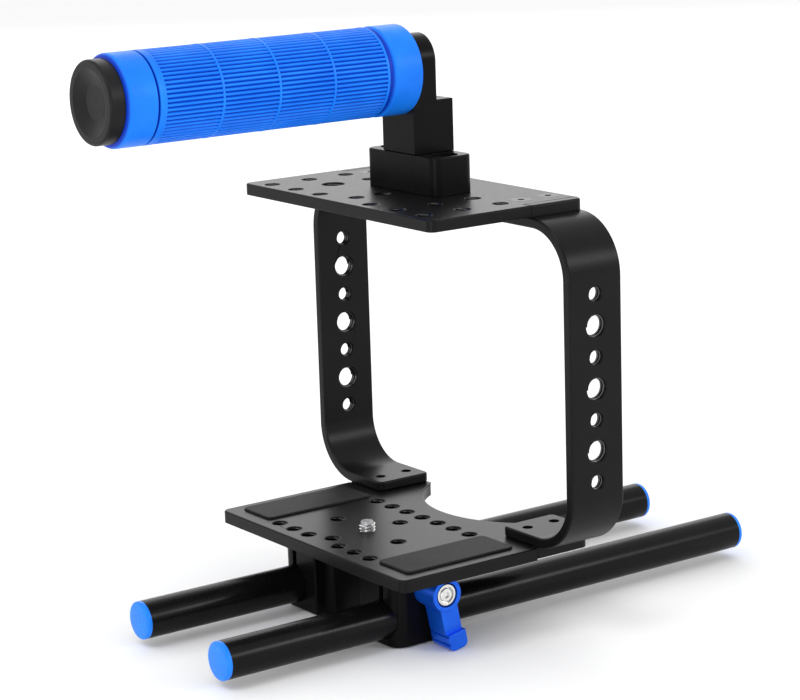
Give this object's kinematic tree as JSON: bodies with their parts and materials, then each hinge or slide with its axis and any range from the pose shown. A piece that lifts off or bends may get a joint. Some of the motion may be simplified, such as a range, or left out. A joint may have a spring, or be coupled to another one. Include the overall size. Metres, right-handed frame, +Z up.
{
  "type": "camera cage",
  "caption": "Camera cage with C-shaped side arms, perforated base and top plates, a ribbed top handle, and a rod block with clamp levers and rods below.",
  "frame": {"origin": "on the camera screw's axis, at the top face of the base plate", "axes": "+X across the cage towards the right arm, +Y along the rods towards the arms and the lens, +Z up along the camera screw"},
  "size_m": [0.1688, 0.2789, 0.2326],
  "materials": {
    "black_anodised": "black anodised, fine satin grain",
    "rod_black": "black anodised, satin",
    "strip_rubber": "matt",
    "grip_rubber": "satin, moulded",
    "plug_plastic": "satin",
    "core_aluminium": "mill",
    "cap_plastic": "gloss",
    "lever_metal": "anodised blue, satin",
    "dark_screw": "black oxide",
    "bright_steel": "bright"
  },
  "bodies": {
    "cage": {"base_plate": "black_anodised", "base_arm_screws": "dark_screw", "top_plate": "black_anodised", "top_arm_screws": "dark_screw", "handle_block": "black_anodised", "handle_block_screws": "dark_screw", "handle_post": "black_anodised", "handle_post_screws": "dark_screw", "handle_core": "core_aluminium", "handle_bolt": "dark_screw", "handle_grip": "grip_rubber", "grip_end_plug": "plug_plastic", "rod_block": "black_anodised", "rod_block_screws": "dark_screw", "side_arm_left": "black_anodised", "side_arm_right": "black_anodised", "grip_strip_left": "strip_rubber", "grip_strip_right": "strip_rubber"},
    "camera_screw": {"camera_screw": "bright_steel"},
    "rod_left": {"rod_left": "rod_black", "rod_cap_near_left": "cap_plastic", "rod_cap_far_left": "cap_plastic"},
    "stud_left": {"clamp_stud_left": "bright_steel", "clamp_ring_left": "bright_steel", "clamp_screw_left": "bright_steel", "lift_spring_left": "bright_steel"},
    "lever_left": {"clamp_lever_left": "lever_metal"},
    "rod_right": {"rod_right": "rod_black", "rod_cap_near_right": "cap_plastic", "rod_cap_far_right": "cap_plastic"},
    "stud_right": {"clamp_stud_right": "bright_steel", "clamp_ring_right": "bright_steel", "clamp_screw_right": "bright_steel", "lift_spring_right": "bright_steel"},
    "lever_right": {"clamp_lever_right": "lever_metal"}
  },
  "joints": [
    {"name": "camera_screw_turn", "type": "hinge", "parent": "cage", "child": "camera_screw", "pos_m": [0, 0, 0], "axis": [0, 0, 1], "continuous": true},
    {"name": "rod_slide_left", "type": "slide", "parent": "cage", "child": "rod_left", "axis": [0, 1, 0], "range_m": [-0.14, 0.06]},
    {"name": "clamp_turn_left", "type": "hinge", "parent": "cage", "child": "stud_left", "pos_m": [-0.039, 0, -0.01405], "axis": [1, 0, 0], "range_deg": [-104, 82]},
    {"name": "lever_lift_left", "type": "slide", "parent": "stud_left", "child": "lever_left", "axis": [-1, 0, 0], "range_m": [0, 0.002], "stiffness_N_per_m": 1500, "springref_m": -0.002},
    {"name": "rod_slide_right", "type": "slide", "parent": "cage", "child": "rod_right", "axis": [0, 1, 0], "range_m": [-0.14, 0.06]},
    {"name": "clamp_turn_right", "type": "hinge", "parent": "cage", "child": "stud_right", "pos_m": [0.039, 0, -0.01405], "axis": [1, 0, 0], "range_deg": [-104, 82]},
    {"name": "lever_lift_right", "type": "slide", "parent": "stud_right", "child": "lever_right", "axis": [1, 0, 0], "range_m": [0, 0.002], "stiffness_N_per_m": 1500, "springref_m": -0.002}
  ]
}
